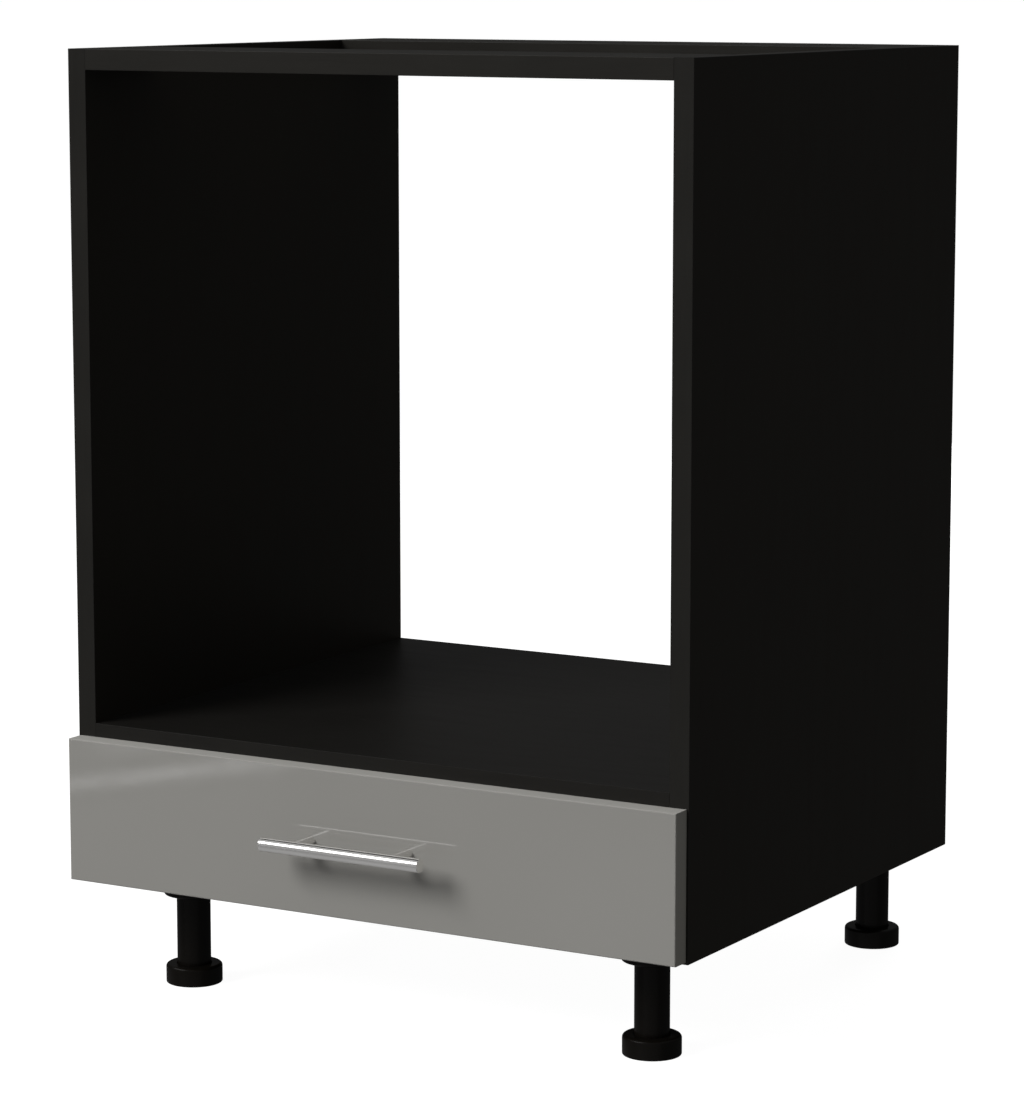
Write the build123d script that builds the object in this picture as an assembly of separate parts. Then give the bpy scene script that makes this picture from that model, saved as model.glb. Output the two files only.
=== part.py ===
from build123d import *
import os

# Base cabinet that houses a built-in oven: carcass open at the front, the back
# and the top, one low drawer under the oven shelf, four adjustable legs.
# Row frame: +Z up, origin at the bottom centre of the bounding box, +X to the
# right when facing the front, front towards -Y. All sizes in millimetres.

# ------------------------------------------------------------ driving dimensions
width = 600.0            # outer width of the carcass
depth = 500.0            # outer depth of the carcass
height = 720.0           # height of the carcass
board = 18.0             # board thickness
band = 1.0               # edge band thickness
leg_height = 100.0       # floor to carcass underside
shelf_top = 139.0        # top of the oven shelf above the carcass underside
rail_depth = 100.0       # front and rear top rails, front to back

front_w = 596.0          # drawer front
front_lo = 2.0           # lower edge above the carcass underside
front_hi = 127.0         # upper edge above the carcass underside
front_t = 18.0
front_gap = 0.3          # drawer front to carcass edge when closed
front_edge_r = 1.0

bar_d = 12.0             # handle bar
bar_len = 156.0
bar_stand = 29.0         # bar axis in front of the drawer face
post_d = 10.0
post_pitch = 96.0
handle_z = 64.5          # above the carcass underside

leg_x = 230.0            # leg axes from the middle plane
leg_yf = 70.0            # front leg axes behind the carcass front
leg_yr = 495.5           # rear leg axes behind the carcass front
tube_r = 14.9            # leg tube
disc_r = 24.85           # foot disc
disc_h = 17.15
socket_r = 25.8          # leg socket
socket_h = 20.4
leg_fit = 0.06           # radial running clearance of the leg tube
stem_r = 7.0             # threaded stem of the foot, major radius
stem_top = 62.0          # top of the stem above the floor
tube_lo = 12.15          # lower end of the leg tube above the floor
well_r = 15.4            # well in the foot that the tube stands in
well_floor = 6.65

travel = 345.0           # drawer travel
roller_r = 10.0
roller_w = 6.0
axle_r = 3.0
axle_fit = 0.05          # radial running clearance of a roller on its rivet
sheet = 1.0              # drawer side steel
steel = 1.2              # runner steel

# ------------------------------------------------------------ base positions
front_y = -(leg_yr + socket_r - (front_gap + front_t + bar_stand + bar_d / 2)) / 2
YF = front_y             # plane of the carcass front edges
ZB = leg_height          # carcass underside
XI = width / 2 - board   # inner faces of the side panels
XO = width / 2


# ------------------------------------------------------------ small helpers
def block(x0, x1, y0, y1, z0, z1):
    """Box between two corners; y from the carcass front, z from its underside."""
    return Pos((x0 + x1) / 2, YF + (y0 + y1) / 2, ZB + (z0 + z1) / 2) * Box(
        abs(x1 - x0), abs(y1 - y0), abs(z1 - z0))


def rod_x(x0, x1, y, z, r):
    return Pos((x0 + x1) / 2, YF + y, ZB + z) * Rot(0, 90, 0) * Cylinder(r, abs(x1 - x0))


def rod_y(x, y0, y1, z, r):
    return Pos(x, YF + (y0 + y1) / 2, ZB + z) * Rot(90, 0, 0) * Cylinder(r, abs(y1 - y0))


def rod_z(x, y, z0, z1, r):
    return Pos(x, YF + y, ZB + (z0 + z1) / 2) * Cylinder(r, abs(z1 - z0))


def cut(body, tools):
    for t in tools:
        body = body - t
    return body


def flip(shape):
    """The same piece on the other side of the middle plane."""
    return mirror(shape, about=Plane.YZ)


def group(solids):
    return Compound(children=[s for s in solids])


def along(shape, direction):
    return shape.edges().filter_by(direction)


def bend(shape, radii):
    """Rounds the sharp corners of a folded sheet that runs along Y: (x, z, radius) each, z from the underside."""
    for x, z, r in radii:
        corner = [e for e in along(shape, Axis.Y)
                  if abs(e.center().X - x) < 0.01 and abs(e.center().Z - ZB - z) < 0.01]
        shape = fillet(corner, r)
    return shape


parts = {}

# ------------------------------------------------------------ board joints
# Each end of a horizontal board is held by two cam locks and two dowels (one of
# each on the narrow top rails). A joint is (y, kind); z is the board's mid plane.
bottom_mid = board / 2
shelf_mid = shelf_top - board / 2
rail_mid = height - board / 2
cam_in = 34.0            # cam centre from the board's end
cam_r = 7.5
cam_h = 12.5
cam_y = {"bottom": (170.0, 330.0), "shelf": (140.0, 360.0), "front": (32.0,), "rear": (468.0,)}
dowel_y = {"bottom": (60.0, 440.0), "shelf": (60.0, 440.0), "front": (74.0,), "rear": (426.0,)}
mid_z = {"bottom": bottom_mid, "shelf": shelf_mid, "front": rail_mid, "rear": rail_mid}
dowel_r = 4.0
dowel_in = 18.0          # length of a dowel in the board
dowel_out = 12.0         # length of a dowel in the side panel


def board_end_holes(name, s):
    """Holes in one end of a horizontal board, on the side s = +1 or -1."""
    z = mid_z[name]
    tools = []
    for y in cam_y[name]:
        tools.append(rod_z(s * (XI - cam_in), y, z - board / 2, z - board / 2 + cam_h + 0.5, cam_r + 0.05))
        tools.append(rod_x(s * (XI - cam_in), s * XI, y, z, 4.05))
    for y in dowel_y[name]:
        tools.append(rod_x(s * (XI - dowel_in - 0.5), s * XI, y, z, dowel_r + 0.05))
    return tools


def side_holes(s):
    tools = []
    for name in mid_z:
        z = mid_z[name]
        for y in cam_y[name]:
            tools.append(rod_x(s * XI, s * (XI + 11.5), y, z, 3.05))
        for y in dowel_y[name]:
            tools.append(rod_x(s * XI, s * (XI + dowel_out + 0.3), y, z, dowel_r + 0.05))
    return tools


# ------------------------------------------------------------ side panels
runner_screw_y = (37.0, 165.0, 357.0)
runner_screw_z = 42.6

side_r = block(XI, XO, band, depth, 0, height - band)
side_r = cut(side_r, side_holes(1))
side_r = cut(side_r, [rod_x(XI, XI + 12.5, y, runner_screw_z, 3.05) for y in runner_screw_y])
parts["side_panel_right"] = side_r
parts["side_panel_left"] = flip(side_r)

# ------------------------------------------------------------ horizontal boards
bottom = block(-XI, XI, band, depth, 0, board)
bottom = cut(bottom, board_end_holes("bottom", 1) + board_end_holes("bottom", -1))

# screw holes for the leg sockets, tongues pointing to the middle of the cabinet
tongue_screws = []
for x in (-leg_x, leg_x):
    for y, s in ((leg_yf, 1), (leg_yr, -1)):
        for dx in (-16.0, 16.0):
            for dy in (36.0, 54.0):
                tongue_screws.append((x + dx, y + s * dy))
bottom = cut(bottom, [rod_z(x, y, 0, 12.0, 2.05) for x, y in tongue_screws])
parts["bottom_panel"] = bottom

shelf = block(-XI, XI, band, depth, shelf_top - board, shelf_top)
shelf = cut(shelf, board_end_holes("shelf", 1) + board_end_holes("shelf", -1))
parts["oven_shelf"] = shelf

worktop_hole_r = 2.5
worktop_x = 200.0
rail_f = block(-XI, XI, band, rail_depth, height - board, height)
rail_f = cut(rail_f, board_end_holes("front", 1) + board_end_holes("front", -1))
rail_f = cut(rail_f, [rod_z(x, rail_depth / 2, height - board, height, worktop_hole_r)
                      for x in (-worktop_x, worktop_x)])
parts["top_rail_front"] = rail_f

rail_r = block(-XI, XI, depth - rail_depth + band, depth, height - board, height)
rail_r = cut(rail_r, board_end_holes("rear", 1) + board_end_holes("rear", -1))
rail_r = cut(rail_r, [rod_z(x, depth - rail_depth / 2, height - board, height, worktop_hole_r)
                      for x in (-worktop_x, worktop_x)])
parts["top_rail_rear"] = rail_r

# ------------------------------------------------------------ edge bands
def front_band(x0, x1, z0, z1, direction):
    b = block(x0, x1, 0, band, z0, z1)
    edges = along(b, direction).group_by(Axis.Y)[0]
    return fillet(edges, 0.6)


parts["side_band_right"] = front_band(XI, XO, 0, height, Axis.Z)
parts["side_band_left"] = flip(parts["side_band_right"])
parts["bottom_band"] = front_band(-XI, XI, 0, board, Axis.X)
parts["shelf_band"] = front_band(-XI, XI, shelf_top - board, shelf_top, Axis.X)
parts["rail_band"] = front_band(-XI, XI, height - board, height, Axis.X)

top_band = block(XI, XO, band, depth, height - band, height)
parts["side_top_band_right"] = fillet(along(top_band, Axis.Y).group_by(Axis.Z)[-1], 0.4)
parts["side_top_band_left"] = flip(parts["side_top_band_right"])
rear_band = block(-XI, XI, depth - rail_depth, depth - rail_depth + band, height - board, height)
parts["rear_rail_band"] = fillet(along(rear_band, Axis.X).group_by(Axis.Y)[0], 0.6)

# ------------------------------------------------------------ board fittings
cams, bolts, dowels = [], [], []
for name in mid_z:
    z = mid_z[name]
    zlo = z - board / 2
    for s in (1, -1):
        for y in cam_y[name]:
            xc = s * (XI - cam_in)
            cam = rod_z(xc, y, zlo + 0.2, zlo + cam_h, cam_r)
            cam = cam - rod_x(xc - s * 4.0, xc + s * 9.0, y, z, 3.6)
            slot = (Pos(xc, YF + y, ZB + zlo + 1.2) * Box(9.0, 1.8, 2.4)
                    + Pos(xc, YF + y, ZB + zlo + 1.2) * Box(1.8, 9.0, 2.4))
            cams.append(cam - slot)
            bolt = rod_x(s * XI, s * (XI + 11.0), y, z, 3.0)
            bolt += rod_x(s * (XI - 2.5), s * XI, y, z, 3.95)
            bolt += rod_x(s * (XI - 29.0), s * (XI - 2.5), y, z, 2.6)
            bolt += rod_x(s * (XI - 34.0), s * (XI - 29.0), y, z, 1.7)
            bolt += rod_x(s * (XI - 37.0), s * (XI - 34.0), y, z, 3.2)
            bolts.append(bolt)
        for y in dowel_y[name]:
            d = rod_x(s * (XI - dowel_in), s * (XI + dowel_out), y, z, dowel_r)
            dowels.append(chamfer(d.edges().filter_by(GeomType.CIRCLE), 0.8))
parts["cam_locks"] = group(cams)
parts["cam_bolts"] = group(bolts)
parts["wood_dowels"] = group(dowels)

# ------------------------------------------------------------ cabinet runners
run_lo = 31.0            # underside of the lower track
roller_y = 18.0          # front roller axis, on the cabinet runner
rear_roller_y = 437.0    # rear roller axis, on the drawer, when closed
front_axle_z = 45.7
rear_axle_z = 42.5
web_x = XI - steel       # inner face of the runner web
lip_x = 271.6            # inner edge of the tracks
run_y0, run_y1 = 6.0, 447.2

run_r = block(web_x, XI, run_y0, run_y1, run_lo, 54.2)
run_r += block(lip_x, web_x, run_y0, run_y1, run_lo, run_lo + steel)
run_r += block(lip_x, web_x, 34.0, run_y1, 53.0, 54.2)
run_r = bend(run_r, [(web_x, run_lo + steel, 0.6), (XI, run_lo, 1.8), (web_x, 53.0, 0.6),
                     (lip_x, run_lo + steel, 0.5), (lip_x, 53.0, 0.5)])
lug_reach = (roller_r ** 2 - 5.5 ** 2) ** 0.5
open_y = rear_roller_y - travel
run_r += block(lip_x, web_x, open_y - lug_reach - 0.3 - steel, open_y - lug_reach - 0.3, 48.0, 53.0)
run_r += block(lip_x, web_x, rear_roller_y + lug_reach + 0.3, rear_roller_y + lug_reach + 0.3 + steel,
               48.0, 53.0)
run_r = cut(run_r, [rod_x(web_x, XI, y, runner_screw_z, 3.1) for y in runner_screw_y])
run_r -= rod_x(web_x, XI, roller_y, front_axle_z, axle_r + 0.02)
parts["cabinet_runner_right"] = run_r
parts["cabinet_runner_left"] = flip(run_r)

screws = []
for y in runner_screw_y:
    s = rod_x(web_x, XI + 12.0, y, runner_screw_z, 3.0) + rod_x(web_x - 0.7, web_x, y, runner_screw_z, 5.0)
    s -= Pos(web_x - 0.5, YF + y, ZB + runner_screw_z) * Box(0.6, 5.0, 0.9)
    s -= Pos(web_x - 0.5, YF + y, ZB + runner_screw_z) * Box(0.6, 0.9, 5.0)
    screws += [s, flip(s)]
parts["runner_screws"] = group(screws)

rivet = rod_x(272.4, XI, roller_y, front_axle_z, axle_r)
rivet += rod_x(271.4, 272.4, roller_y, front_axle_z, 5.0)
rivet += rod_x(279.2, web_x, roller_y, front_axle_z, 5.0)
parts["cabinet_roller_rivets"] = group([rivet, flip(rivet)])


def roller(x0, x1, y, z):
    r = rod_x(x0, x1, y, z, roller_r)
    r = chamfer(r.edges().filter_by(GeomType.CIRCLE), 0.6)
    r -= rod_x(x0, x1, y, z, axle_r + axle_fit)
    # shallow dish in each side of the tread
    ring = rod_x(x0, x0 + 1.2, y, z, 7.8) - rod_x(x0, x0 + 1.2, y, z, 4.6)
    ring2 = rod_x(x1 - 1.2, x1, y, z, 7.8) - rod_x(x1 - 1.2, x1, y, z, 4.6)
    return r - ring - ring2


parts["front_roller_right"] = roller(272.8, 272.8 + roller_w, roller_y, front_axle_z)
parts["front_roller_left"] = flip(parts["front_roller_right"])

# ------------------------------------------------------------ legs
socket_top = 0.0
roof = -4.0


def socket(x, y, s):
    """Leg socket under the bottom panel, screw tongue towards s along Y."""
    b = rod_z(x, y, -socket_h, 0, socket_r)
    b = fillet(b.edges().filter_by(GeomType.CIRCLE).group_by(Axis.Z)[0], 1.8)
    tongue = block(x - 25.0, x + 25.0, y, y + s * 64.0, -5.0, 0)
    tongue = fillet(along(tongue, Axis.Z), 6.0)
    b = b + tongue
    for dx in (-9.0, 9.0):
        rib = block(x + dx - 1.2, x + dx + 1.2, y + s * 20.0, y + s * 48.0, -14.0, -4.9)
        far = along(rib, Axis.X).sort_by(Axis.Z)[:2].sort_by(Axis.Y)
        edge = far[-1] if s > 0 else far[0]
        b = b + chamfer(edge, 8.5)
    b = b - rod_z(x, y, -socket_h, roof, tube_r + leg_fit)
    b = b - rod_z(x, y, -8.0, -5.4, tube_r + 1.1)
    for dx in (-16.0, 16.0):
        for dy in (36.0, 54.0):
            b = b - rod_z(x + dx, y + s * dy, -5.0, 0, 2.2)
    return b


def tube(x, y):
    """Leg tube: snap lip at the top, threaded bore at the bottom, open cavity between."""
    lo = tube_lo - leg_height
    t = rod_z(x, y, lo, -4.2, tube_r)
    t = chamfer(t.edges().filter_by(GeomType.CIRCLE).group_by(Axis.Z)[0], 0.6)
    t += rod_z(x, y, -7.8, -5.7, tube_r + 0.8)
    t -= rod_z(x, y, lo, lo + 26.0, stem_r + 0.05)
    t -= rod_z(x, y, lo + 26.0, -4.2, 11.6)
    t -= rod_z(x, y, lo, lo + 2.5, 9.0)
    return t


def foot(x, y):
    """Foot disc with a well for the tube and a stem that carries the thread."""
    lo = -leg_height
    d = rod_z(x, y, lo, lo + disc_h, disc_r)
    d = fillet(d.edges().filter_by(GeomType.CIRCLE).group_by(Axis.Z)[-1], 2.2)
    d = fillet(d.edges().filter_by(GeomType.CIRCLE).group_by(Axis.Z)[0], 1.2)
    d -= rod_z(x, y, lo + well_floor, lo + disc_h, well_r)
    stem = rod_z(x, y, lo + well_floor - 0.1, lo + stem_top, stem_r)
    stem = chamfer(stem.edges().filter_by(GeomType.CIRCLE).group_by(Axis.Z)[-1], 1.5)
    return d + stem


spots = {"front_left": (-leg_x, leg_yf, 1), "front_right": (leg_x, leg_yf, 1),
         "rear_left": (-leg_x, leg_yr, -1), "rear_right": (leg_x, leg_yr, -1)}
for name, (x, y, s) in spots.items():
    parts["leg_socket_" + name] = socket(x, y, s)
    parts["leg_tube_" + name] = tube(x, y)
    parts["foot_" + name] = foot(x, y)

leg_screws = []
for x, y in tongue_screws:
    s = rod_z(x, y, -5.0, 11.5, 2.0) + rod_z(x, y, -7.2, -5.0, 4.0)
    s = fillet(s.edges().filter_by(GeomType.CIRCLE).group_by(Axis.Z)[0], 1.0)
    s -= Pos(x, YF + y, ZB - 6.7) * Box(4.4, 0.9, 1.2)
    s -= Pos(x, YF + y, ZB - 6.7) * Box(0.9, 4.4, 1.2)
    leg_screws.append(s)
parts["leg_screws"] = group(leg_screws)

# ------------------------------------------------------------ drawer front and handle
face_y = -front_gap - front_t
back_y = -front_gap
bar_y = face_y - bar_stand

front = block(-front_w / 2, front_w / 2, face_y, back_y, front_lo, front_hi)
front = fillet(front.faces().sort_by(Axis.Y)[0].edges(), front_edge_r)
bracket_screw_z = (68.0, 96.0)
front_holes = []
for s in (1, -1):
    front_holes += [rod_y(s * 276.0, -12.0, back_y, z, 2.05) for z in bracket_screw_z]
    front_holes.append(rod_y(s * post_pitch / 2, face_y, back_y, handle_z, 2.3))
parts["drawer_front"] = cut(front, front_holes)

bar = rod_x(-bar_len / 2, bar_len / 2, bar_y, handle_z, bar_d / 2)
bar = chamfer(bar.edges().filter_by(GeomType.CIRCLE), 0.4)
parts["handle_bar"] = bar

post = rod_y(post_pitch / 2, bar_y, face_y, handle_z, post_d / 2)
post -= rod_x(-bar_len / 2, bar_len / 2, bar_y, handle_z, bar_d / 2)
post = post.solids().sort_by(Axis.Y)[-1]
post -= rod_y(post_pitch / 2, face_y - 12.0, face_y, handle_z, 2.05)
parts["handle_post_right"] = post
parts["handle_post_left"] = flip(post)

hs = rod_y(post_pitch / 2, face_y - 10.0, back_y, handle_z, 2.0)
head = rod_y(post_pitch / 2, back_y, back_y + 2.4, handle_z, 4.2)
head = fillet(head.edges().filter_by(GeomType.CIRCLE).group_by(Axis.Y)[-1], 1.2)
hs += head
hs -= Pos(post_pitch / 2, YF + back_y + 1.9, ZB + handle_z) * Box(4.6, 1.2, 0.9)
hs -= Pos(post_pitch / 2, YF + back_y + 1.9, ZB + handle_z) * Box(0.9, 1.2, 4.6)
parts["handle_screws"] = group([hs, flip(hs)])

# ------------------------------------------------------------ drawer box
box_y0, box_y1 = 2.5, 452.0
side_lo, side_hi = 28.0, 114.0
side_in, side_out = 268.0, 269.0
base_x = 266.5
base_lo = side_lo + sheet
base_hi = base_lo + 16.0
back_y0, back_y1 = 434.7, 450.7
base_screw_y = (60.0, 225.0, 390.0)
back_screw_z = (60.0, 98.0)
bracket_bolt = (30.0, 82.0)

ds = block(side_in, side_out, box_y0, box_y1, side_lo, side_hi)
ds += block(252.0, side_in, box_y0, box_y1, side_lo, side_lo + sheet)
ds += block(side_out, 273.0, box_y0, box_y1, side_hi - sheet, side_hi)
ds += block(272.0, 273.0, box_y0, box_y1, 106.0, side_hi - sheet)
ds = bend(ds, [(side_in, side_lo + sheet, 0.6), (side_out, side_lo, 1.6),
               (side_in, side_hi, 1.6), (side_out, side_hi - sheet, 0.6),
               (273.0, side_hi, 1.6), (272.0, side_hi - sheet, 0.6)])
ds += block(252.0, side_in, 451.0, box_y1, 47.0, 112.0)
ds -= rod_x(side_in, side_out, rear_roller_y, rear_axle_z, axle_r + 0.02)
ds = cut(ds, [rod_z(259.0, y, side_lo, base_lo, 1.8) for y in base_screw_y])
ds = cut(ds, [rod_y(259.0, 451.0, box_y1, z, 1.8) for z in back_screw_z])
ds -= rod_x(side_in, side_out, bracket_bolt[0], bracket_bolt[1], 2.05)
parts["drawer_side_right"] = ds
parts["drawer_side_left"] = flip(ds)

base = block(-base_x, base_x, 0.2, back_y1, base_lo, base_hi)
back = block(-base_x, base_x, back_y0, back_y1, base_hi, 112.0)
for s in (1, -1):
    base = cut(base, [rod_z(s * 259.0, y, base_lo, base_lo + 13.0, 1.75) for y in base_screw_y])
    back = cut(back, [rod_y(s * 259.0, back_y1 - 13.0, back_y1, z, 1.75) for z in back_screw_z])
parts["drawer_base"] = base
parts["drawer_back"] = back

bsc, ksc = [], []
for y in base_screw_y:
    s = rod_z(259.0, y, side_lo, base_lo + 12.5, 1.7) + rod_z(259.0, y, side_lo - 1.2, side_lo, 3.2)
    s -= Pos(259.0, YF + y, ZB + side_lo - 1.0) * Box(3.6, 0.8, 0.8)
    s -= Pos(259.0, YF + y, ZB + side_lo - 1.0) * Box(0.8, 3.6, 0.8)
    bsc += [s, flip(s)]
for z in back_screw_z:
    s = rod_y(259.0, back_y1 - 12.5, box_y1, z, 1.7) + rod_y(259.0, box_y1, box_y1 + 1.4, z, 3.2)
    s -= Pos(259.0, YF + box_y1 + 1.2, ZB + z) * Box(3.6, 0.8, 0.8)
    s -= Pos(259.0, YF + box_y1 + 1.2, ZB + z) * Box(0.8, 0.8, 3.6)
    ksc += [s, flip(s)]
parts["drawer_base_screws"] = group(bsc)
parts["drawer_back_screws"] = group(ksc)

# steel L profile, welded to the outside of the drawer side
dr = block(side_out, side_out + steel, 3.0, 449.0, 34.0, 57.2)
dr += block(side_out + steel, 279.8, 3.0, 449.0, 56.0, 57.2)
dr = bend(dr, [(side_out, 57.2, 1.6), (side_out + steel, 56.0, 0.5), (279.8, 57.2, 0.5)])
dr -= rod_x(side_out, side_out + steel, rear_roller_y, rear_axle_z, axle_r + 0.02)
parts["drawer_runner_right"] = dr
parts["drawer_runner_left"] = flip(dr)

rv = rod_x(side_in, 278.4, rear_roller_y, rear_axle_z, axle_r)
rv += rod_x(side_in - 0.8, side_in, rear_roller_y, rear_axle_z, 4.5)
rv += rod_x(side_out + steel, 271.5, rear_roller_y, rear_axle_z, 5.0)
rv += rod_x(278.4, 279.4, rear_roller_y, rear_axle_z, 5.0)
parts["drawer_roller_rivets"] = group([rv, flip(rv)])
parts["rear_roller_right"] = roller(271.9, 271.9 + roller_w, rear_roller_y, rear_axle_z)
parts["rear_roller_left"] = flip(parts["rear_roller_right"])

# front brackets: a plate on the back of the front, a leg along the drawer side
fb = block(258.0, 281.0, back_y, 2.2, 60.0, 104.0)
fb += block(side_out, 271.0, 2.2, 45.0, 60.0, 104.0)
fb = cut(fb, [rod_y(276.0, back_y, 2.2, z, 2.1) for z in bracket_screw_z])
fb -= rod_x(side_out, 271.0, bracket_bolt[0], bracket_bolt[1], 2.05)
parts["front_bracket_right"] = fb
parts["front_bracket_left"] = flip(fb)

brs = []
for z in bracket_screw_z:
    s = rod_y(276.0, -11.5, 2.2, z, 2.0) + rod_y(276.0, 2.2, 4.2, z, 3.4)
    s -= Pos(276.0, YF + 3.8, ZB + z) * Box(4.0, 1.2, 0.9)
    s -= Pos(276.0, YF + 3.8, ZB + z) * Box(0.9, 1.2, 4.0)
    brs += [s, flip(s)]
s = rod_x(side_in - 1.6, side_in, bracket_bolt[0], bracket_bolt[1], 3.6)
s += rod_x(side_in, 271.0, bracket_bolt[0], bracket_bolt[1], 2.0)
s -= Pos(side_in - 1.3, YF + bracket_bolt[0], ZB + bracket_bolt[1]) * Box(1.0, 4.2, 0.9)
s -= Pos(side_in - 1.3, YF + bracket_bolt[0], ZB + bracket_bolt[1]) * Box(1.0, 0.9, 4.2)
brs += [s, flip(s)]
parts["front_bracket_screws"] = group(brs)

# ------------------------------------------------------------ export
os.makedirs("parts", exist_ok=True)
for name in sorted(parts):
    export_step(parts[name], "parts/" + name + ".step")
print(len(parts), "nodes; carcass front at y =", round(YF, 3))
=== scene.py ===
import math

import bpy
import bmesh
from mathutils import Matrix, Vector


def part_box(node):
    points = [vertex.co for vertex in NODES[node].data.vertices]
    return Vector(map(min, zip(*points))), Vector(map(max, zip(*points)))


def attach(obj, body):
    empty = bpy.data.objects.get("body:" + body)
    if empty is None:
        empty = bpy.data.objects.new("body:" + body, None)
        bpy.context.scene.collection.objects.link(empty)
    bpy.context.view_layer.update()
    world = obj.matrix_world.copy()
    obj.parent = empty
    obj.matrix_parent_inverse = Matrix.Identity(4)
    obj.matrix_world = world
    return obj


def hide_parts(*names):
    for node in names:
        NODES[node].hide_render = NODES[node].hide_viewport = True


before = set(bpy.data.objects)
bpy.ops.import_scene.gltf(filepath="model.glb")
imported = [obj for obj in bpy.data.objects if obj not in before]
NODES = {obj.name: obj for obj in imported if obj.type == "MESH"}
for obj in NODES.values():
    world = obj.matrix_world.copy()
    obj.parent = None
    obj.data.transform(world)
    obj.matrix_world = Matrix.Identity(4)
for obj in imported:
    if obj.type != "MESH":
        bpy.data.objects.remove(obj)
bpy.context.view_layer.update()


scene = bpy.context.scene
scene.view_settings.view_transform = "Standard"
scene.view_settings.look = "None"


# ---------------------------------------------------------------- node helpers
class Tree:
    """A material's node tree with short calls for the nodes used here."""

    def __init__(self, name):
        self.mat = bpy.data.materials.new(name)
        self.mat.use_nodes = True
        self.t = self.mat.node_tree
        self.t.nodes.clear()
        self.out = self.t.nodes.new("ShaderNodeOutputMaterial")
        self.bsdf = self.t.nodes.new("ShaderNodeBsdfPrincipled")
        self.link(self.bsdf.outputs["BSDF"], self.out.inputs["Surface"])
        self.co = self.t.nodes.new("ShaderNodeTexCoord")
        self._xyz = None
        self._nrm = None

    def link(self, a, b):
        self.t.links.new(a, b)

    def put(self, value, socket):
        if isinstance(value, bpy.types.NodeSocket):
            self.link(value, socket)
        elif isinstance(value, (tuple, list)) and len(value) == 3 and socket.type == "RGBA":
            socket.default_value = (*value, 1.0)
        else:
            socket.default_value = value

    def set(self, **values):
        for key, value in values.items():
            self.put(value, self.bsdf.inputs[key.replace("_", " ")])

    @property
    def xyz(self):
        if self._xyz is None:
            n = self.t.nodes.new("ShaderNodeSeparateXYZ")
            self.link(self.co.outputs["Object"], n.inputs[0])
            self._xyz = n.outputs
        return self._xyz

    @property
    def nrm(self):
        if self._nrm is None:
            n = self.t.nodes.new("ShaderNodeSeparateXYZ")
            self.link(self.co.outputs["Normal"], n.inputs[0])
            self._nrm = n.outputs
        return self._nrm

    def m(self, op, a, b=None, c=None, clamp=False):
        n = self.t.nodes.new("ShaderNodeMath")
        n.operation = op
        n.use_clamp = clamp
        for i, v in enumerate((a, b, c)):
            if v is not None:
                self.put(v, n.inputs[i])
        return n.outputs[0]

    def vec(self, x, y, z):
        n = self.t.nodes.new("ShaderNodeCombineXYZ")
        for i, v in enumerate((x, y, z)):
            self.put(v, n.inputs[i])
        return n.outputs[0]

    def scaled(self, sx, sy, sz, source=None):
        n = self.t.nodes.new("ShaderNodeVectorMath")
        n.operation = "MULTIPLY"
        self.link(source or self.co.outputs["Object"], n.inputs[0])
        n.inputs[1].default_value = (sx, sy, sz)
        return n.outputs[0]

    def shift(self, source, x, y, z):
        n = self.t.nodes.new("ShaderNodeVectorMath")
        n.operation = "ADD"
        self.link(source, n.inputs[0])
        n.inputs[1].default_value = (x, y, z)
        return n.outputs[0]

    def noise(self, vector, scale=1.0, detail=3.0, rough=0.5, distortion=0.0, color=False):
        n = self.t.nodes.new("ShaderNodeTexNoise")
        self.link(vector, n.inputs["Vector"])
        n.inputs["Scale"].default_value = scale
        n.inputs["Detail"].default_value = detail
        n.inputs["Roughness"].default_value = rough
        n.inputs["Distortion"].default_value = distortion
        return n.outputs["Color" if color else "Fac"]

    def voronoi(self, vector, scale=1.0, feature="F1", out="Color"):
        n = self.t.nodes.new("ShaderNodeTexVoronoi")
        n.feature = feature
        self.link(vector, n.inputs["Vector"])
        n.inputs["Scale"].default_value = scale
        return n.outputs[out]

    def ramp(self, fac, stops):
        n = self.t.nodes.new("ShaderNodeValToRGB")
        self.link(fac, n.inputs[0])
        e = n.color_ramp.elements
        while len(e) < len(stops):
            e.new(0.5)
        for i, (p, c) in enumerate(stops):
            e[i].position = p
            e[i].color = (*c, 1.0) if isinstance(c, (tuple, list)) else (c, c, c, 1.0)
        return n.outputs["Color"]

    def range(self, v, a, b, c, d):
        n = self.t.nodes.new("ShaderNodeMapRange")
        n.clamp = True
        self.put(v, n.inputs["Value"])
        for key, x in (("From Min", a), ("From Max", b), ("To Min", c), ("To Max", d)):
            n.inputs[key].default_value = x
        return n.outputs["Result"]

    def mix(self, fac, a, b):
        n = self.t.nodes.new("ShaderNodeMix")
        n.data_type = "RGBA"
        self.put(fac, n.inputs[0])
        for v, s in ((a, n.inputs[6]), (b, n.inputs[7])):
            if isinstance(v, (int, float)):
                v = (v, v, v)
            self.put(v, s)
        return n.outputs[2]

    def mixf(self, fac, a, b):
        n = self.t.nodes.new("ShaderNodeMix")
        n.data_type = "FLOAT"
        self.put(fac, n.inputs[0])
        self.put(a, n.inputs[2])
        self.put(b, n.inputs[3])
        return n.outputs[0]

    def tint(self, color, gain):
        """color scaled by a number or by a grey pattern."""
        n = self.t.nodes.new("ShaderNodeVectorMath")
        n.operation = "SCALE"
        if isinstance(color, bpy.types.NodeSocket):
            self.link(color, n.inputs[0])
        else:
            n.inputs[0].default_value = color
        self.put(gain, n.inputs["Scale"])
        return n.outputs[0]

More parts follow.
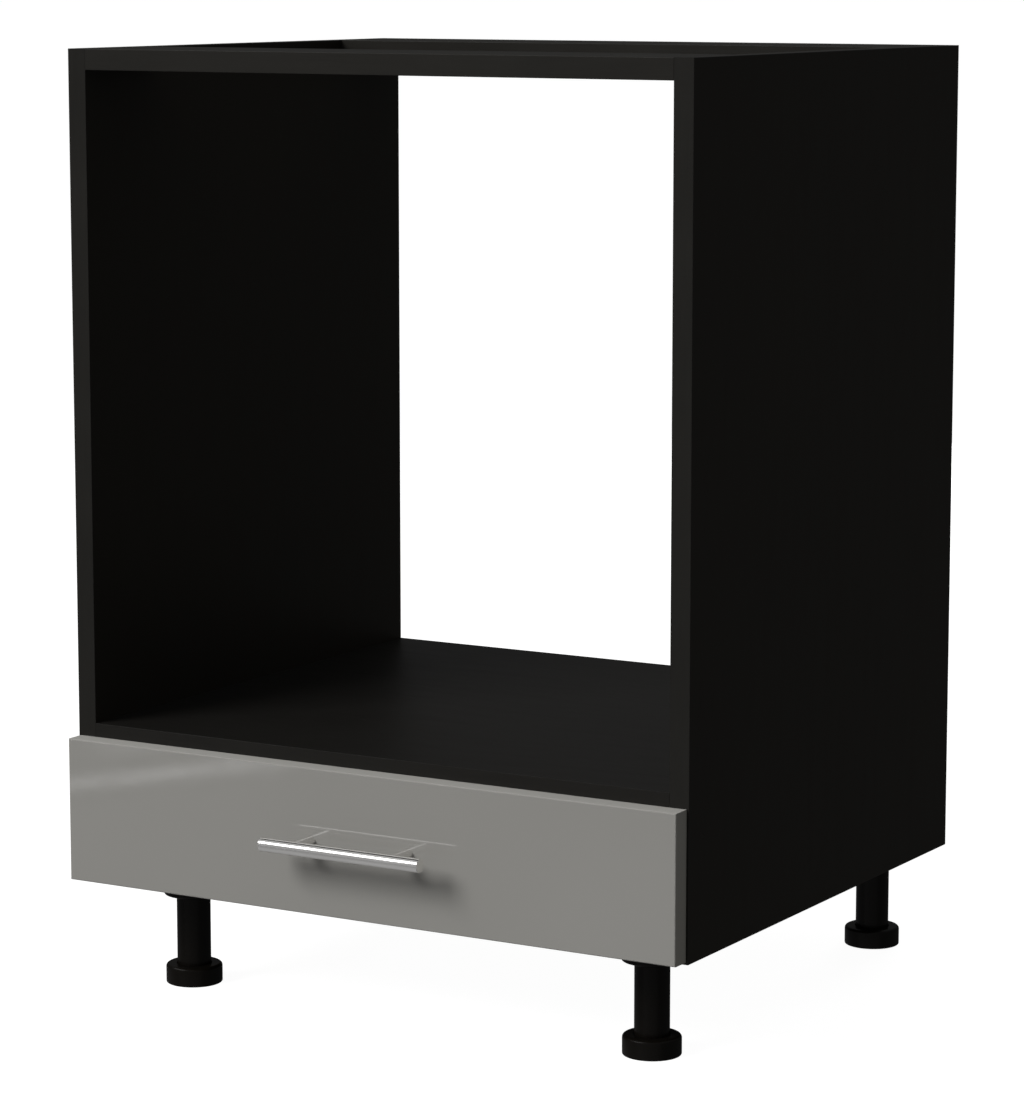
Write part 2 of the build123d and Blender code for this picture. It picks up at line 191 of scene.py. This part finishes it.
    def bump(self, height, distance, strength=1.0, after=None):
        n = self.t.nodes.new("ShaderNodeBump")
        n.inputs["Distance"].default_value = distance
        n.inputs["Strength"].default_value = strength
        self.put(height, n.inputs["Height"])
        if after is not None:
            self.link(after, n.inputs["Normal"])
        return n.outputs["Normal"]


# ---------------------------------------------------------------- board and edging
BLACK = (0.0100, 0.0094, 0.0081)


def melamine(t, base, rough, seed):
    """Colour, roughness and height of a satin melamine face: fine grained pearl, faint cloudiness, a few wipe marks."""
    p = t.shift(t.co.outputs["Object"], seed, seed * 0.7, -seed)
    grain = t.noise(p, 1500.0, 2.0, 0.55)
    pearl = t.voronoi(p, 1150.0, "SMOOTH_F1", "Distance")
    cloud = t.noise(p, 7.0, 4.0, 0.55)
    wipe = t.noise(t.scaled(9.0, 60.0, 9.0, p), 1.0, 3.0, 0.5, 0.6)
    speck = t.voronoi(p, 620.0, "F1", "Distance")
    tone = t.m("MULTIPLY", t.range(cloud, 0.3, 0.7, 0.94, 1.06), t.range(grain, 0.25, 0.75, 0.86, 1.14))
    dust = t.range(speck, 0.0, 0.045, 1.35, 1.0)
    color = t.tint(base, t.m("MULTIPLY", tone, dust))
    r = t.m("ADD", t.range(cloud, 0.3, 0.7, rough - 0.03, rough + 0.04), t.range(wipe, 0.45, 0.75, 0.0, 0.035))
    r = t.m("ADD", r, t.range(grain, 0.3, 0.7, -0.02, 0.02))
    height = t.m("ADD", t.m("MULTIPLY", pearl, 0.75), t.m("MULTIPLY", grain, 0.5))
    return color, r, height


def chipboard(t, axis, lo, hi, mirrored):
    """Colour and height of a sawn board edge: flat flakes in the core, fine particles under the faces."""
    s = [330.0, 330.0, 330.0]
    s[axis] = 1150.0
    wob = t.noise(t.co.outputs["Object"], 260.0, 2.0, 0.5, 0.0, True)
    p = t.scaled(*s)
    n = t.t.nodes.new("ShaderNodeVectorMath")
    n.operation = "MULTIPLY_ADD"
    t.link(wob, n.inputs[0])
    n.inputs[1].default_value = (1.6, 1.6, 1.6)
    t.link(p, n.inputs[2])
    p = n.outputs[0]
    core = t.voronoi(p, 1.0)
    fine = t.voronoi(p, 2.6)
    gap = t.voronoi(p, 1.0, "DISTANCE_TO_EDGE", "Distance")
    depth = t.m("ABSOLUTE", t.xyz[axis]) if mirrored else t.xyz[axis]
    to_face = t.m("MINIMUM", t.m("SUBTRACT", depth, lo), t.m("SUBTRACT", hi, depth))
    skin = t.range(to_face, 0.0022, 0.0042, 1.0, 0.0)
    value = t.mixf(skin, t.m("MULTIPLY", core, 1.0), t.m("MULTIPLY", fine, 1.0))
    stops = [(0.0, (0.13, 0.078, 0.042)), (0.25, (0.25, 0.160, 0.090)), (0.5, (0.36, 0.245, 0.145)),
             (0.75, (0.47, 0.345, 0.215)), (1.0, (0.30, 0.195, 0.110))]
    color = t.ramp(value, stops)
    fibre = t.noise(t.scaled(*[v * 4.0 for v in s]), 1.0, 2.0, 0.6)
    pit = t.m("MULTIPLY", t.range(gap, 0.0, 0.09, 0.42, 1.0), t.range(fibre, 0.3, 0.7, 0.82, 1.12))
    color = t.tint(color, t.mixf(skin, pit, t.range(fibre, 0.3, 0.7, 0.85, 1.08)))
    height = t.m("ADD", t.m("MULTIPLY", t.range(gap, 0.0, 0.14, 0.0, 1.0), 0.8), t.m("MULTIPLY", fibre, 0.4))
    line = t.m("LESS_THAN", to_face, 0.00032)
    return color, height, line


def board(name, axis, lo, hi, mirrored=False, base=BLACK, rough=0.38, spec=0.13, seed=0.0, raw=True):
    """A melamine faced board whose faces are square to axis; its other sides are sawn, with the film's thin line."""
    t = Tree(name)
    color, r, height = melamine(t, base, rough, seed)
    if raw:
        c2, h2, line = chipboard(t, axis, lo, hi, mirrored)
        face = t.m("GREATER_THAN", t.m("ABSOLUTE", t.nrm[axis]), 0.35)
        film = t.m("MAXIMUM", face, line)
        color = t.mix(film, c2, color)
        r = t.mixf(film, 0.92, r)
        near = t.bump(height, 0.000045)
        far = t.bump(h2, 0.00025)
        n = t.t.nodes.new("ShaderNodeMix")
        n.data_type = "VECTOR"
        t.link(film, n.inputs[0])
        t.link(far, n.inputs[4])
        t.link(near, n.inputs[5])
        normal = n.outputs[1]
    else:
        normal = t.bump(height, 0.000045)
    t.set(Base_Color=color, Roughness=r, Normal=normal, Specular_IOR_Level=spec)
    return t.mat


def edging(name, along, base=BLACK, rough=0.36, spec=0.14, arris=None):
    """Plastic edge band: smoother than the board, with faint scrape lines along its length; arris darkens the colour of
    its rounded edges as painted shade against their highlight, and lowers their specular level.
    """
    t = Tree(name)
    s = [2600.0, 2600.0, 2600.0]
    s[along] = 26.0
    lines = t.noise(t.scaled(*s), 1.0, 2.0, 0.5)
    peel = t.noise(t.co.outputs["Object"], 420.0, 3.0, 0.5)
    cloud = t.noise(t.co.outputs["Object"], 11.0, 3.0, 0.5)
    tone = t.m("MULTIPLY", t.range(cloud, 0.3, 0.7, 0.95, 1.06), t.range(lines, 0.3, 0.7, 0.93, 1.07))
    # painted shade: the colour of the rounded edges is scaled by arris to hide their highlight
    if arris is not None:
        a, b = [t.m("ABSOLUTE", t.nrm[i]) for i in range(3) if i != along]
        turn = t.range(t.m("MINIMUM", a, b), 0.15, 0.5, 0.0, 1.0)
        tone = t.m("MULTIPLY", tone, t.mixf(turn, 1.0, arris))
        spec = t.mixf(turn, spec, spec * arris)
    t.set(Base_Color=t.tint(base, tone),
          Roughness=t.m("ADD", t.range(cloud, 0.3, 0.7, rough - 0.03, rough + 0.03), t.range(lines, 0.3, 0.7, -0.03, 0.03)),
          Specular_IOR_Level=spec,
          Normal=t.bump(t.m("ADD", t.m("MULTIPLY", lines, 0.5), peel), 0.00004))
    return t.mat


# ---------------------------------------------------------------- drawer front
def gloss_front():
    """Warm grey high gloss film on the face and edges, a matt balancing film on the back."""
    t = Tree("gloss_front")
    back = t.m("GREATER_THAN", t.nrm[1], 0.6)
    edge = t.range(t.m("ABSOLUTE", t.nrm[1]), 0.75, 0.25, 0.0, 1.0)
    cloud = t.noise(t.co.outputs["Object"], 5.0, 3.0, 0.5)
    peel = t.noise(t.co.outputs["Object"], 85.0, 2.0, 0.45)
    smear = t.noise(t.scaled(14.0, 14.0, 40.0), 1.0, 4.0, 0.6, 0.8)
    tone = t.range(cloud, 0.3, 0.7, 0.99, 1.012)
    # painted light: the upward-facing top edge gets a much paler colour than the side and bottom edges
    top = t.range(t.m("ABSOLUTE", t.nrm[2]), 0.4, 0.9, 0.0, 1.0)
    rim = t.mix(top, (0.196, 0.190, 0.171), (0.335, 0.328, 0.308))
    face = t.mix(edge, t.tint((0.1945, 0.1905, 0.1780), tone), t.tint(rim, tone))
    # where the film turns over the arris it is rougher and has a lower specular level, and its colour is darkened:
    # painted shade that tones down the arris highlight
    turn = t.range(t.m("MINIMUM", t.m("ABSOLUTE", t.nrm[1]), t.m("ABSOLUTE", t.nrm[2])), 0.2, 0.5, 0.0, 1.0)
    face = t.tint(face, t.mixf(turn, 1.0, 0.93))
    grain = t.noise(t.co.outputs["Object"], 1500.0, 2.0, 0.5)
    rear = t.tint((0.33, 0.325, 0.315), t.range(grain, 0.3, 0.7, 0.93, 1.05))
    t.set(Base_Color=t.mix(back, face, rear),
          Roughness=t.mixf(back, t.mixf(t.m("MAXIMUM", edge, turn), t.range(smear, 0.35, 0.8, 0.035, 0.075), 0.42), 0.46),
          Specular_IOR_Level=t.mixf(turn, 0.5, 0.22),
          Normal=t.bump(t.m("ADD", t.m("MULTIPLY", peel, t.m("SUBTRACT", 1.0, back)), t.m("MULTIPLY", grain, t.m("MULTIPLY", back, 2.0))), 0.000010))
    return t.mat


# ---------------------------------------------------------------- metals and plastics
def brushed(name, base, rough, along, fine=3200.0, coarse=24.0, bump=0.0000035, ends=None):
    """Metal with fine brush lines along one axis; faces square to it may have a paler turned finish."""
    t = Tree(name)
    s = [fine, fine, fine]
    s[along] = coarse
    lines = t.noise(t.scaled(*s), 1.0, 3.0, 0.6)
    s2 = [v * 0.28 for v in s]
    wide = t.noise(t.scaled(*s2), 1.0, 2.0, 0.5)
    cloud = t.noise(t.co.outputs["Object"], 30.0, 3.0, 0.5)
    tone = t.m("MULTIPLY", t.range(lines, 0.3, 0.7, 0.93, 1.05), t.range(cloud, 0.3, 0.7, 0.97, 1.03))
    r = t.m("ADD", t.range(lines, 0.25, 0.75, rough - 0.04, rough + 0.05), t.range(wide, 0.3, 0.7, -0.02, 0.03))
    if ends is not None:
        base = t.mix(t.range(t.m("ABSOLUTE", t.nrm[along]), 0.6, 0.95, 0.0, 1.0), base, ends)
    t.set(Base_Color=t.tint(base, tone), Metallic=1.0, Roughness=r,
          Normal=t.bump(t.m("ADD", lines, t.m("MULTIPLY", wide, 0.8)), bump))
    return t.mat


def plated(name, base, rough, scale=900.0, bump=0.000012):
    """Small plated or cast metal pieces: mottled, with fine pitting."""
    t = Tree(name)
    spots = t.noise(t.co.outputs["Object"], scale, 3.0, 0.6)
    cloud = t.noise(t.co.outputs["Object"], scale * 0.12, 3.0, 0.5)
    t.set(Base_Color=t.tint(base, t.m("MULTIPLY", t.range(spots, 0.3, 0.7, 0.88, 1.08), t.range(cloud, 0.3, 0.7, 0.93, 1.05))),
          Metallic=1.0, Roughness=t.range(spots, 0.3, 0.7, rough - 0.06, rough + 0.08),
          Normal=t.bump(spots, bump))
    return t.mat


def moulded(name, base, rough, spec, scale=1900.0, depth=0.00003, mottle=0.06):
    """Moulded plastic with a fine spark-eroded skin."""
    t = Tree(name)
    skin = t.noise(t.co.outputs["Object"], scale, 3.0, 0.65)
    cells = t.voronoi(t.co.outputs["Object"], scale * 0.7, "SMOOTH_F1", "Distance")
    cloud = t.noise(t.co.outputs["Object"], 45.0, 3.0, 0.5)
    tone = t.m("MULTIPLY", t.range(skin, 0.3, 0.7, 1 - 1.5 * mottle, 1 + 1.5 * mottle), t.range(cloud, 0.3, 0.7, 1 - mottle, 1 + mottle))
    t.set(Base_Color=t.tint(base, tone),
          Roughness=t.m("ADD", t.range(cloud, 0.3, 0.7, rough - 0.04, rough + 0.04), t.range(skin, 0.3, 0.7, -0.03, 0.03)),
          Specular_IOR_Level=spec, Normal=t.bump(t.m("ADD", skin, cells), depth))
    return t.mat


def powder_coat():
    """Powder coated sheet steel: fine orange peel with a little speckle."""
    t = Tree("coated_steel")
    peel = t.noise(t.co.outputs["Object"], 900.0, 3.0, 0.55)
    wave = t.noise(t.co.outputs["Object"], 240.0, 2.0, 0.5)
    cloud = t.noise(t.co.outputs["Object"], 14.0, 3.0, 0.5)
    tone = t.m("MULTIPLY", t.range(peel, 0.3, 0.7, 0.955, 1.035), t.range(cloud, 0.3, 0.7, 0.98, 1.02))
    t.set(Base_Color=t.tint((0.42, 0.43, 0.44), tone),
          Roughness=t.range(peel, 0.3, 0.7, 0.33, 0.43), Specular_IOR_Level=0.5,
          Normal=t.bump(t.m("ADD", t.m("MULTIPLY", peel, 0.6), wave), 0.00004))
    return t.mat


def beech():
    t = Tree("beech")
    rings = t.noise(t.scaled(30.0, 900.0, 900.0), 1.0, 3.0, 0.6, 0.3)
    flecks = t.noise(t.scaled(180.0, 2600.0, 2600.0), 1.0, 2.0, 0.5)
    color = t.ramp(rings, [(0.25, (0.42, 0.27, 0.15)), (0.5, (0.56, 0.39, 0.23)), (0.75, (0.64, 0.47, 0.29))])
    t.set(Base_Color=t.tint(color, t.range(flecks, 0.3, 0.7, 0.86, 1.06)), Roughness=t.range(flecks, 0.3, 0.7, 0.55, 0.7),
          Specular_IOR_Level=0.4, Normal=t.bump(flecks, 0.00004))
    return t.mat


M = {
    "side": board("board_side", 0, 0.282, 0.300, True, base=(0.0104, 0.0090, 0.0067), seed=0.31),
    "bottom": board("board_bottom", 2, 0.100, 0.118, seed=1.73),
    # painted shade: the shelf is a darker copy of the same black board, for the shelf inside the niche
    "shelf": board("board_shelf", 2, 0.221, 0.239, base=(0.0069, 0.0065, 0.0058), seed=2.47),
    "rail": board("board_rail", 2, 0.802, 0.820, seed=3.91),
    "edge_x": edging("edging_x", 0, base=(0.0104, 0.0098, 0.0085)),
    # painted shade: the shelf's band is a darker copy of the black edging, with its arris darkened as well
    "edge_shelf": edging("edging_shelf", 0, base=(0.0080, 0.0075, 0.0066), arris=0.6),
    "edge_y": edging("edging_y", 1, base=(0.0101, 0.0095, 0.0082)),
    # painted shade: the upright side bands are a slightly darker copy of the black edging
    "edge_z": edging("edging_z", 2, base=(0.0091, 0.0086, 0.0075)),
    "front": gloss_front(),
    "handle": brushed("handle_steel", (0.86, 0.850, 0.835), 0.15, 0, bump=0.0000004, ends=(0.95, 0.94, 0.92)),
    "post": brushed("post_steel", (0.90, 0.89, 0.875), 0.16, 1, bump=0.0000004),
    "leg": moulded("leg_plastic", (0.0033, 0.0027, 0.0021), 0.27, 0.095, depth=0.000007),
    "steel": powder_coat(),
    "base": board("drawer_base_board", 2, 0.129, 0.145, base=(0.50, 0.50, 0.49), rough=0.42, spec=0.5, seed=5.2),
    "back": board("drawer_back_board", 1, 0.2007, 0.2167, base=(0.50, 0.50, 0.49), rough=0.42, spec=0.5, seed=6.1, raw=False),
    "nylon": moulded("roller_nylon", (0.72, 0.71, 0.68), 0.38, 0.5, 1200.0, 0.00002, 0.03),
    "zinc": plated("plated_steel", (0.60, 0.61, 0.62), 0.27),
    "cast": plated("zinc_casting", (0.46, 0.46, 0.47), 0.42, 1400.0, 0.00002),
    "beech": beech(),
}

LOOK = {
    "side_panel_left": "side", "side_panel_right": "side", "bottom_panel": "bottom", "oven_shelf": "shelf",
    "top_rail_front": "rail", "top_rail_rear": "rail",
    "side_band_left": "edge_z", "side_band_right": "edge_z", "side_top_band_left": "edge_y",
    "side_top_band_right": "edge_y", "bottom_band": "edge_x", "shelf_band": "edge_shelf", "rail_band": "edge_x",
    "rear_rail_band": "edge_x",
    "cam_locks": "cast", "cam_bolts": "zinc", "wood_dowels": "beech", "runner_screws": "zinc", "leg_screws": "zinc",
    "cabinet_roller_rivets": "zinc", "drawer_roller_rivets": "zinc", "drawer_base_screws": "zinc",
    "drawer_back_screws": "zinc", "front_bracket_screws": "zinc", "handle_screws": "zinc",
    "drawer_front": "front", "handle_bar": "handle", "handle_post_left": "post", "handle_post_right": "post",
    "drawer_base": "base", "drawer_back": "back",
}
for name, o in NODES.items():
    key = LOOK.get(name)
    if key is None:
        if name.startswith(("leg_", "foot_")):
            key = "leg"
        elif "roller" in name:
            key = "nylon"
        else:
            key = "steel"
    o.data.materials.clear()
    o.data.materials.append(M[key])


# ---------------------------------------------------------------- soft arrises
def soften(name, width, segments=2, angle=40.0):
    """Breaks the sharp arrises of a carried-over piece by a fraction of a millimetre."""
    o = NODES[name]
    w = o.modifiers.new("weld", "WELD")
    w.merge_threshold = 0.000002
    b = o.modifiers.new("arris", "BEVEL")
    b.width = width
    b.segments = segments
    b.limit_method = "ANGLE"
    b.angle_limit = math.radians(angle)
    b.harden_normals = True
    b.use_clamp_overlap = True
    w = o.modifiers.new("close", "WELD")
    w.merge_threshold = 0.000002


for name in ("side_panel_left", "side_panel_right", "bottom_panel", "oven_shelf", "top_rail_front", "top_rail_rear",
             "drawer_base", "drawer_back"):
    soften(name, 0.00025)


# ---------------------------------------------------------------- feet with their thread
def profile_lathe(bm, rings, count, origin):
    """Surface of revolution about Z through origin from (radius, height) pairs; returns the rings of vertices."""
    made = []
    for r, z in rings:
        if r < 1e-7:
            made.append([bm.verts.new((origin[0], origin[1], z))])
            continue
        made.append([bm.verts.new((origin[0] + r * math.cos(2 * math.pi * i / count),
                                   origin[1] + r * math.sin(2 * math.pi * i / count), z)) for i in range(count)])
    for a, b in zip(made, made[1:]):
        for i in range(count):
            j = (i + 1) % count
            if len(a) == 1:
                bm.faces.new((a[0], b[j], b[i]))
            elif len(b) == 1:
                bm.faces.new((a[i], a[j], b[0]))
            else:
                bm.faces.new((a[i], a[j], b[j], b[i]))
    return made


def arc(cx, cz, r, a0, a1, n):
    return [(cx + r * math.cos(math.radians(a0 + (a1 - a0) * k / n)), cz + r * math.sin(math.radians(a0 + (a1 - a0) * k / n)))
            for k in range(n + 1)]


def foot(name, body):
    """Foot disc with the tube's well, and a stem with a coarse single-start thread."""
    lo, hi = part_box(name)
    cx, cy = (lo.x + hi.x) / 2, (lo.y + hi.y) / 2
    R, H, well, floor_z = 0.02485, 0.01715, 0.0154, 0.00665
    root, crest, pitch, top = 0.0061, 0.00695, 0.005, hi.z
    count = 144
    bm = bmesh.new()
    ring = [(0.0, 0.0)]
    ring += [(0.0195, 0.0), (0.0201, 0.0004), (0.0209, 0.0004), (0.0215, 0.0)]
    ring += arc(R - 0.0012, 0.0012, 0.0012, -90, 0, 5)
    ring += arc(R - 0.0030, H - 0.0030, 0.0030, 0, 90, 10)
    ring += arc(well + 0.0006, H - 0.0006, 0.0006, 90, 180, 4)
    ring += [(well, floor_z + 0.0005), (well - 0.0005, floor_z), (root + 0.0012, floor_z), (root + 0.0003, floor_z + 0.0003), (root, floor_z + 0.0012)]
    # the stem goes up in small steps; its radius follows the thread's flank round the axis
    z0, z1 = floor_z + 0.0012, top - 0.0016
    steps = int((z1 - z0) / 0.00025)
    made = profile_lathe(bm, ring, count, (cx, cy))
    last = made[-1]

    def thread(z, angle):
        phase = (z / pitch - angle / (2 * math.pi)) % 1.0
        tri = abs(phase * 2 - 1)
        k = min(1.0, max(0.0, (tri - 0.30) / 0.34))
        fade = min(1.0, max(0.0, (z - z0) / 0.003)) * min(1.0, max(0.0, (z1 - z) / 0.002))
        return root + (crest - root) * k * fade

    for s in range(1, steps + 1):
        z = z0 + (z1 - z0) * s / steps
        now = []
        for i in range(count):
            ang = 2 * math.pi * i / count
            r = thread(z, ang)
            now.append(bm.verts.new((cx + r * math.cos(ang), cy + r * math.sin(ang), z)))
        for i in range(count):
            j = (i + 1) % count
            bm.faces.new((last[i], last[j], now[j], now[i]))
        last = now
    end = [(root - 0.0004, top - 0.0008), (root - 0.0014, top), (0.0, top)]
    for r, z in end:
        if r < 1e-7:
            tip = bm.verts.new((cx, cy, z))
            for i in range(count):
                bm.faces.new((last[i], last[(i + 1) % count], tip))
            break
        now = [bm.verts.new((cx + r * math.cos(2 * math.pi * i / count), cy + r * math.sin(2 * math.pi * i / count), z))
               for i in range(count)]
        for i in range(count):
            j = (i + 1) % count
            bm.faces.new((last[i], last[j], now[j], now[i]))
        last = now
    bmesh.ops.recalc_face_normals(bm, faces=bm.faces)
    mesh = bpy.data.meshes.new(name + "_threaded")
    bm.to_mesh(mesh)
    bm.free()
    for f in mesh.polygons:
        f.use_smooth = True
    mesh.materials.append(M["leg"])
    o = bpy.data.objects.new(name + "_threaded", mesh)
    scene.collection.objects.link(o)
    mesh.set_sharp_from_angle(angle=math.radians(38))
    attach(o, body)
    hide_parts(name)
    return o


for k in ("front_left", "front_right", "rear_left", "rear_right"):
    foot("foot_" + k, "foot_" + k)


# ---------------------------------------------------------------- studio
def aim(o, target):
    o.rotation_mode = "QUATERNION"
    o.rotation_quaternion = (Vector(target) - o.location).to_track_quat("-Z", "Y")


def area(name, location, target, width, height, power, color=(1, 1, 1)):
    data = bpy.data.lights.new(name, "AREA")
    data.shape = "RECTANGLE"
    data.size = width
    data.size_y = height
    data.energy = power
    data.color = color
    o = bpy.data.objects.new(name, data)
    scene.collection.objects.link(o)
    o.location = location
    aim(o, target)
    o.visible_camera = False
    return o


# key from the upper left front, as the handle's shadow on the door asks for
centre = Vector((0.0, -0.24, 0.36))
to_key = Vector((-0.60, -1.0, 0.83)).normalized()
key = area("key", centre + to_key * 9.0, centre, 4.0, 4.0, 1040.0)
key.visible_glossy = False
# the same soft box as polished pieces mirror it: wide and low
to_sheen = Vector((-0.523, -0.624, 0.581)).normalized()
sheen = area("key_sheen", centre + to_sheen * 8.6, centre, 8.0, 3.1, 320.0)
sheen.visible_diffuse = False
# low and behind, for the back of the cabinet only
rear = area("rear", (-0.5, 3.8, 0.55), (0.0, 0.0, 0.40), 1.8, 1.2, 120.0)
rear.visible_glossy = False

# pale floor
bpy.ops.mesh.primitive_plane_add(size=240.0, location=(0.0, 0.0, 0.0))
floor = bpy.context.object
floor.name = "floor"
fm = bpy.data.materials.new("floor")
fm.use_nodes = True
ft = fm.node_tree
ft.nodes.clear()
fo = ft.nodes.new("ShaderNodeOutputMaterial")
fd = ft.nodes.new("ShaderNodeBsdfDiffuse")
fd.inputs["Color"].default_value = (0.16, 0.16, 0.16, 1.0)
fe = ft.nodes.new("ShaderNodeEmission")
fe.inputs["Color"].default_value = (1.0, 1.0, 1.0, 1.0)
fe.inputs["Strength"].default_value = 0.96
fa = ft.nodes.new("ShaderNodeAddShader")
ft.links.new(fd.outputs[0], fa.inputs[0])
ft.links.new(fe.outputs[0], fa.inputs[1])
fg = ft.nodes.new("ShaderNodeNewGeometry")
fx = ft.nodes.new("ShaderNodeMixShader")
fz = ft.nodes.new("ShaderNodeBsdfTransparent")
ft.links.new(fg.outputs["Backfacing"], fx.inputs[0])
ft.links.new(fa.outputs[0], fx.inputs[1])
ft.links.new(fz.outputs[0], fx.inputs[2])
ft.links.new(fx.outputs[0], fo.inputs["Surface"])
floor.data.materials.append(fm)
floor.visible_diffuse = False
floor.visible_glossy = False

# a thin light panel whose reflection crosses the gloss door's upper left corner
A = Vector((-0.2905, -0.2523, 0.1865)) + Vector((-0.5868, -0.7832, -0.2068)).normalized() * 2.6
B = Vector((-0.1160, -0.2523, 0.2235)) + Vector((-0.5534, -0.8077, -0.2037)).normalized() * 2.6
mid, side = (A + B) / 2, (B - A).normalized()
out = (Vector((-0.20, -0.2523, 0.20)) - mid).normalized()
up = out.cross(side).normalized()
if up.z < 0:
    up = -up
half = (B - A).length / 2
bm = bmesh.new()
bm.faces.new([bm.verts.new(v) for v in ((-half - 0.35, -0.03, 0), (half + 0.1, -0.03, 0), (half + 0.1, 0.20, 0), (-half - 0.35, 0.20, 0))])
strip = bpy.data.meshes.new("light_strip")
bm.to_mesh(strip)
bm.free()
card = bpy.data.objects.new("light_strip", strip)
scene.collection.objects.link(card)
card.matrix_world = Matrix.Translation(mid) @ Matrix((side, up, side.cross(up))).transposed().to_4x4()
cm = bpy.data.materials.new("light_strip")
cm.use_nodes = True
ct = cm.node_tree
ct.nodes.clear()


def cn(kind, **values):
    n = ct.nodes.new(kind)
    for key, v in values.items():
        setattr(n, key, v)
    return n


def cmap(value, a, b, c, d, smooth=True):
    n = cn("ShaderNodeMapRange", interpolation_type="SMOOTHSTEP" if smooth else "LINEAR")
    ct.links.new(value, n.inputs["Value"])
    for key, x in (("From Min", a), ("From Max", b), ("To Min", c), ("To Max", d)):
        n.inputs[key].default_value = x
    return n.outputs["Result"]


def cmath(op, a, b):
    n = cn("ShaderNodeMath", operation=op)
    for i, v in enumerate((a, b)):
        if isinstance(v, bpy.types.NodeSocket):
            ct.links.new(v, n.inputs[i])
        else:
            n.inputs[i].default_value = v
    return n.outputs[0]


cc = cn("ShaderNodeTexCoord")
cx = cn("ShaderNodeSeparateXYZ")
ct.links.new(cc.outputs["Object"], cx.inputs[0])
line = cmath("MULTIPLY", cmap(cx.outputs[1], -0.017, 0.0, 0.0, 1.0), cmap(cx.outputs[1], 0.0, 0.015, 1.0, 0.0))
line = cmath("MULTIPLY", line, cmap(cx.outputs[0], -half, half, 2.45, 2.8, False))
wash = cmath("MULTIPLY", cmap(cx.outputs[1], 0.020, 0.05, 0.0, 1.0), cmap(cx.outputs[0], -half, -half * 0.35, 0.15, 0.80))
wash = cmath("MULTIPLY", wash, cmap(cx.outputs[0], 0.0, half * 0.5, 1.0, 0.15))
ce = cn("ShaderNodeEmission")
ct.links.new(cmath("ADD", line, wash), ce.inputs["Strength"])
co_ = cn("ShaderNodeOutputMaterial")
ct.links.new(ce.outputs[0], co_.inputs["Surface"])
strip.materials.append(cm)
card.visible_camera = False
card.visible_diffuse = False
card.visible_shadow = False
card.visible_transmission = False

# soft surroundings: white to the camera, dimmer and shaped for the light that falls on the object
world = bpy.data.worlds.new("studio")
scene.world = world
world.use_nodes = True
wt = world.node_tree
wt.nodes.clear()


def wm(op, a, b=None):
    n = wt.nodes.new("ShaderNodeMath")
    n.operation = op
    for i, v in enumerate((a, b)):
        if isinstance(v, bpy.types.NodeSocket):
            wt.links.new(v, n.inputs[i])
        elif v is not None:
            n.inputs[i].default_value = v
    return n.outputs[0]


wc = wt.nodes.new("ShaderNodeTexCoord")
ws = wt.nodes.new("ShaderNodeSeparateXYZ")
wt.links.new(wc.outputs["Generated"], ws.inputs[0])


def step(value, a, b):
    n = wt.nodes.new("ShaderNodeMapRange")
    n.interpolation_type = "SMOOTHSTEP"
    wt.links.new(value, n.inputs["Value"])
    for key, x in (("From Min", a), ("From Max", b), ("To Min", 0.0), ("To Max", 1.0)):
        n.inputs[key].default_value = x
    return n.outputs["Result"]


level = wm("ADD", wm("MULTIPLY", step(ws.outputs[2], -0.22, -0.02), 0.34), 0.16)
front_lobe = wm("MULTIPLY", wm("POWER", wm("MAXIMUM", wm("MULTIPLY", ws.outputs[1], -1.0), 0.0), 2.0), level)
top_lobe = wm("MULTIPLY", wm("POWER", wm("MAXIMUM", ws.outputs[2], 0.0), 2.0), 0.45)
right_lobe = wm("MULTIPLY", wm("POWER", wm("MAXIMUM", ws.outputs[0], 0.0), 2.0), 0.21)
fill = wm("ADD", wm("ADD", wm("ADD", front_lobe, top_lobe), right_lobe), 0.044)
# light thrown back by the floor in front, and its edge as the gloss door mirrors it
dot = wm("ADD", wm("ADD", wm("MULTIPLY", ws.outputs[0], -0.45), wm("MULTIPLY", ws.outputs[1], -0.25)), wm("MULTIPLY", ws.outputs[2], -0.857))
fill = wm("ADD", fill, wm("MULTIPLY", wm("POWER", wm("MAXIMUM", dot, 0.0), 2.0), 0.40))

ratio = wm("DIVIDE", ws.outputs[0], wm("MINIMUM", ws.outputs[1], -0.02))
patch = wm("MULTIPLY", step(ratio, 0.605, 0.555), step(ws.outputs[2], -0.208, -0.236))
patch = wm("MULTIPLY", patch, step(ws.outputs[1], -0.3, -0.6))
fill = wm("ADD", fill, wm("MULTIPLY", patch, 0.26))
wl = wt.nodes.new("ShaderNodeLightPath")
# a soft box overhead that only shows as a reflection
fill = wm("ADD", fill, wm("MULTIPLY", wm("MULTIPLY", step(ws.outputs[2], 0.66, 0.93), wl.outputs["Is Glossy Ray"]), 0.34))
wb1 = wt.nodes.new("ShaderNodeBackground")
wt.links.new(fill, wb1.inputs["Strength"])
wb2 = wt.nodes.new("ShaderNodeBackground")
wb2.inputs["Strength"].default_value = 1.0
wb2.inputs["Color"].default_value = (1, 1, 1, 1)
wx = wt.nodes.new("ShaderNodeMixShader")
wo = wt.nodes.new("ShaderNodeOutputWorld")
wt.links.new(wl.outputs["Is Camera Ray"], wx.inputs[0])
wt.links.new(wb1.outputs[0], wx.inputs[1])
wt.links.new(wb2.outputs[0], wx.inputs[2])
wt.links.new(wx.outputs[0], wo.inputs["Surface"])

cam = bpy.data.cameras.new("camera")
cam.sensor_width = 36.0
cam.lens = 127.766
cam.clip_start = 0.05
cam.clip_end = 400.0
camera = bpy.data.objects.new("camera", cam)
scene.collection.objects.link(camera)
camera.location = (1.713144, -2.922912, 0.896352)
camera.rotation_euler = (math.radians(81.3689), 0.0, math.radians(30.3783))
scene.camera = camera
